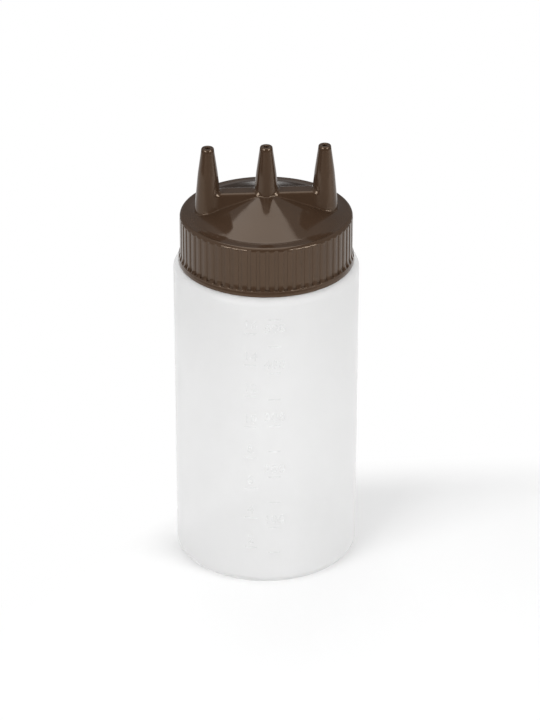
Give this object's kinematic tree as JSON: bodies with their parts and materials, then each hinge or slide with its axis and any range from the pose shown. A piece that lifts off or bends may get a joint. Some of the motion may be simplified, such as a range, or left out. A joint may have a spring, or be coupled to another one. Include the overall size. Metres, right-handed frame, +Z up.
{
  "type": "squeeze dispenser bottle",
  "caption": "Wide-mouth squeeze bottle of frosted plastic with a ribbed screw cap that carries upright conical nozzles in a row.",
  "frame": {"origin": "middle of the base, on the surface that the bottle stands on", "axes": "+Z up along the bottle's axis; nozzle row along X; moulded scale on the -Y side"},
  "size_m": [0.0762, 0.0764, 0.1835],
  "materials": {
    "frosted_polyethylene": "frosted, milky and translucent",
    "ring_silicone": "soft, matt",
    "brown_polyethylene": "moulded, glossy dark brown"
  },
  "bodies": {
    "bottle": {"bottle": "frosted_polyethylene"},
    "sealing_ring": {"sealing_ring": "ring_silicone"},
    "cap": {"cap": "brown_polyethylene"}
  },
  "joints": [
    {"name": "cap_lift", "type": "slide", "parent": "bottle", "child": "sealing_ring", "axis": [0, 0, 1], "range_m": [0, 0.00625]},
    {"name": "cap_turn", "type": "hinge", "parent": "sealing_ring", "child": "cap", "pos_m": [0, 0, 0.1526], "axis": [0, 0, 1], "range_deg": [0, 450]}
  ],
  "couplings": [
    {"joint": "cap_lift", "follows": "cap_turn", "m_per_rad": 0.00079577}
  ]
}
